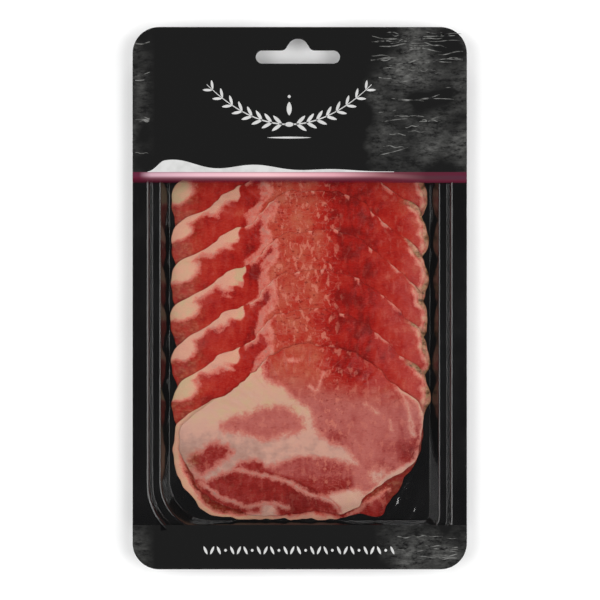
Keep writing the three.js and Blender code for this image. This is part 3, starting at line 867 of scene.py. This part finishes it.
slate, wine, clear = map(new_material, (slate_black_print, wine_stripe_print_and_shade, clear_film_laminate))
film_piece("printed_head", "film_head", HEAD_EDGE, PACK[3], 1.0, slate)
film_piece("wine_stripe", "film_head", HEAD_EDGE - STRIPE, HEAD_EDGE, 1.0, wine)
film_piece("clear_window", "film_window", FOOT_EDGE, HEAD_EDGE - STRIPE, 0.9, clear)
film_piece("printed_foot", "film_foot", PACK[2], FOOT_EDGE, 1.0, slate)

# -------------------- white print
# Opaque white ink on the black: two sprigs on curved stems either side of a lozenge at the head,
# a pale wave that lies along the stripe, and a garland of small leaves at the foot. Thinner grey
# ink draws stray chalk strokes beside them.

INK = 0.012


def white_ink(add):
    """Matt white ink, a little uneven where the roller left it thin."""
    place = add("TexCoord")["Object"]
    thin = add("TexNoise", {"Vector": place, "Scale": 250.0, "Detail": 2.0})[0]
    ink = add("ValToRGB", {"Fac": thin}, {0.3: "B6B6B5", 0.6: "C4C4C3"})[0]
    return add("BsdfPrincipled", {"Base Color": ink, "Roughness": 0.45, "IOR": 1.5})[0]


def petals(middles, turns, lengths, widths, along=13, across=5):
    """Pointed leaves, lozenges or dashes: grids (shapes, along, across) of x and y.

    At t from -1 to 1 along the leaf its half width is width (1 - t^2)^0.8 / 2.
    """
    t, s = np.linspace(-1, 1, along)[:, None], np.linspace(-1, 1, across)[None, :]
    middles, turns = np.array(middles, float), np.array(turns, float)[:, None, None]
    u = np.array(lengths, float)[:, None, None] / 2 * t + 0 * s
    v = np.array(widths, float)[:, None, None] / 2 * np.maximum(1 - t**2, 0.0004) ** 0.8 * s
    x = middles[:, :1, None] + u * np.cos(turns) - v * np.sin(turns)
    y = middles[:, 1:, None] + u * np.sin(turns) + v * np.cos(turns)
    return x, y


def ribbon(x, y, width, across=3):
    """A stroke along a curve: a grid (1, along, across), the width laid across the curve's heading."""
    heading = np.arctan2(np.gradient(y), np.gradient(x))[:, None]
    offset = width[:, None] / 2 * np.linspace(-1, 1, across)
    return (x[:, None] - offset * np.sin(heading))[None], (y[:, None] + offset * np.cos(heading))[None]


def print_shapes(name, x, y, material):
    """Lays grids of shapes on the film as one piece of ink."""
    top = film_height(x, y) + INK
    parts = [closed_plate(*grids, grids[2] - 2 * INK) for grids in zip(x, y, top)]
    count = len(parts[0][0])
    points = np.vstack([part[0] for part in parts])
    faces = np.vstack([part[1] + i * count for i, part in enumerate(parts)])
    piece = add_piece(name, points, faces.tolist(), material)
    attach(piece, "root")


def head_sprigs(material, middle=(-4.0, 72.0), pairs=8):
    """Two curved stems with leaf pairs that mirror each other, and lozenges between them.

    A stem runs from the middle out: at t it is 29 t across and 13 t^2 - 6 up.
    """
    t = np.linspace(0.1, 1, pairs)
    leaves = []
    for side in (1, -1):
        for lean in (0.7, -0.7):
            heading = np.arctan2(26 * t, 29.0) + lean
            leaves.append([
                middle[0] + side * (29 * t + 2.1 * np.cos(heading)),
                middle[1] + 13 * t**2 - 6 + 2.1 * np.sin(heading),
                heading if side > 0 else math.pi - heading,
                5.0 - 1.4 * t,
                1.35 - 0.4 * t,
            ])
        stem = np.linspace(0.05, 1.08, 40)
        run = ribbon(middle[0] + side * 29 * stem, middle[1] + 13 * stem**2 - 6, 0.55 - 0.3 * stem)
        print_shapes(f"sprig_stem_{'right' if side > 0 else 'left'}", *run, material)
    x, y, turn, length, width = np.hstack(leaves)
    print_shapes("sprig_leaves", *petals(np.stack([x, y], axis=1), turn, length, width), material)
    lozenges = [(middle[0], middle[1] + rise) for rise in (-6, 0, 4.6, -11)]
    shapes = petals(lozenges, [0, math.pi / 2, 0, 0], [3.6, 5.2, 1.2, 17.0], [1.8, 1.9, 1.2, 0.7])
    print_shapes("sprig_lozenges", *shapes, material)


def pale_wave(material, start=-58.0, stop=36.0, tall=5.2):
    """A wave along the stripe, from s = 0 at the left to 1: three crests that die away to the right.

    Its height is tall (1 - s)^1.2 (0.35 + 0.65 sin^2(3 pi (s + 0.05))), eased in at the left.
    """
    s = np.linspace(0.002, 0.998, 200)
    crests = 0.35 + 0.65 * np.sin(3 * math.pi * (s + 0.05)) ** 2
    height = tall * (1 - s) ** 1.2 * crests * ease(s, 0, 0.07) + 0.2
    x = (start + (stop - start) * s)[:, None] + np.zeros(7)
    y = HEAD_EDGE + height[:, None] * np.linspace(0, 1, 7)
    print_shapes("pale_wave", x[None], y[None], material)


def foot_row(material, y=-95.8, half_length=35.5, shapes=29):
    """Small leaves that lean to and fro by turns, with a dot after every third."""
    place = np.arange(shapes)
    x = np.linspace(-half_length, half_length, shapes) - 0.3
    dot = place % 4 == 3
    turn = np.where(dot, 0, np.where(place % 2, 1.15, math.pi - 1.15))
    length = np.where(dot, 1.1, 3.4)
    width = np.where(dot, 1.1, 0.95)
    print_shapes("foot_row", *petals(np.stack([x, 0 * x + y], axis=1), turn, length, width), material)


def chalk_grey_ink(add):
    """Grey ink broken up by grain, which reads as a stroke of chalk."""
    place = add("TexCoord")["Object"]
    grain = add("TexNoise", {"Vector": place, "Scale": 420.0, "Detail": 4.0})[0]
    ink = add("ValToRGB", {"Fac": grain}, {0.38: "1C1C1C", 0.52: "5E5E5C", 0.7: "80807E"})[0]
    return add("BsdfPrincipled", {"Base Color": ink, "Roughness": 0.2, "IOR": 1.5})[0]


def chalk_strokes(name, box, strokes, seed, material):
    """Stray strokes in a box (left, right, bottom, top): most lie level, and each wavers a little."""
    left, right, bottom, top = box
    pick = np.random.default_rng(seed)
    half = pick.uniform(2, 8, strokes)[:, None]
    middle_x = pick.uniform(left, right, strokes)[:, None]
    middle_y = pick.uniform(bottom, top, strokes)[:, None]
    slope = pick.normal(0, 0.12, strokes)[:, None]
    t = np.linspace(-1, 1, 24)
    x = np.clip(middle_x + half * t, left, right)
    waver = 0.25 * np.sin(pick.uniform(1, 6, strokes)[:, None] * t + pick.uniform(0, 6, strokes)[:, None])
    y = np.clip(middle_y + slope * (x - middle_x) + waver, bottom, top)
    s = np.linspace(-1, 1, 3)
    width = pick.uniform(0.1, 0.22, strokes)[:, None] * (1 - 0.8 * t**4)
    long_enough = np.ptp(x, axis=1) > 1.5
    x, y, width = x[long_enough], y[long_enough], width[long_enough]
    print_shapes(name, np.repeat(x[..., None], 3, axis=2), y[..., None] + width[..., None] * s, material)


ink = new_material(white_ink)
head_sprigs(ink)
pale_wave(ink)
foot_row(ink)
chalk = new_material(chalk_grey_ink)
chalk_strokes("chalk_right", (27, 62, 84, 101), 34, 5, chalk)
chalk_strokes("chalk_right_low", (30, 62, 54, 84), 18, 8, chalk)
chalk_strokes("chalk_left", (-62.5, -57, 55, 98), 8, 3, chalk)
chalk_strokes("chalk_foot", (36, 60, -101.5, -90), 12, 4, chalk)

# -------------------- studio
# A white table, and soft boxes low at the sides, so that the film shows no glare from above and
# the tray's bends show as bright lines. The camera looks straight down from afar.

TABLE_REACH = 1.6
VIEW_WIDTH = 0.228
LENS = 120.0
SENSOR = 36.0
PHOTO_MIDDLE = (0.0001, -0.0007)


def white_laminate(add):
    """Matt white laminate, with a mottle of a few centimetres that is barely there."""
    place = add("TexCoord")["Object"]
    mottle = add("TexNoise", {"Vector": place, "Scale": 30.0, "Detail": 2.0})[0]
    paint = add("ValToRGB", {"Fac": mottle}, {0.3: "F8F8F8", 0.7: "FBFBFB"})[0]
    return add("BsdfPrincipled", {"Base Color": paint, "Roughness": 0.7})[0]


def soft_box(name, place, size, power):
    """A rectangular soft light turned to the pack."""
    light = bpy.data.lights.new(name, "AREA")
    light.shape = "RECTANGLE"
    light.size, light.size_y = size
    light.energy = power
    lamp = bpy.data.objects.new(name, light)
    bpy.context.collection.objects.link(lamp)
    lamp.location = place
    lamp.rotation_euler = (-lamp.location).to_track_quat("-Z", "Y").to_euler()


floor = add_piece(
    "white_table",
    np.array([(-1, -1, 0), (1, -1, 0), (1, 1, 0), (-1, 1, 0)]) * TABLE_REACH / MM,
    [(0, 1, 2, 3)], new_material(white_laminate),
)

soft_box("left_box", (-0.85, 0.05, 0.95), (0.85, 1.2), 11.3)
soft_box("right_box", (0.85, -0.05, 0.95), (0.85, 1.2), 12.9)
soft_box("head_box", (0.0, 1.1, 0.9), (1.0, 0.4), 6)
soft_box("foot_box", (0.0, -1.1, 0.9), (1.0, 0.4), 6)

world = bpy.data.worlds.new("studio_air")
world.use_nodes = True
air = world.node_tree.nodes["Background"].inputs
air["Color"].default_value = (1, 1, 1, 1)
air["Strength"].default_value = 0.05
bpy.context.scene.world = world
bpy.context.scene.view_settings.view_transform = "Standard"

lens = bpy.data.cameras.new("camera")
lens.lens = LENS
lens.sensor_width = SENSOR
camera = bpy.data.objects.new("camera", lens)
bpy.context.collection.objects.link(camera)
camera.location = (*PHOTO_MIDDLE, RIM_TOP * MM + VIEW_WIDTH * LENS / SENSOR)
bpy.context.scene.camera = camera
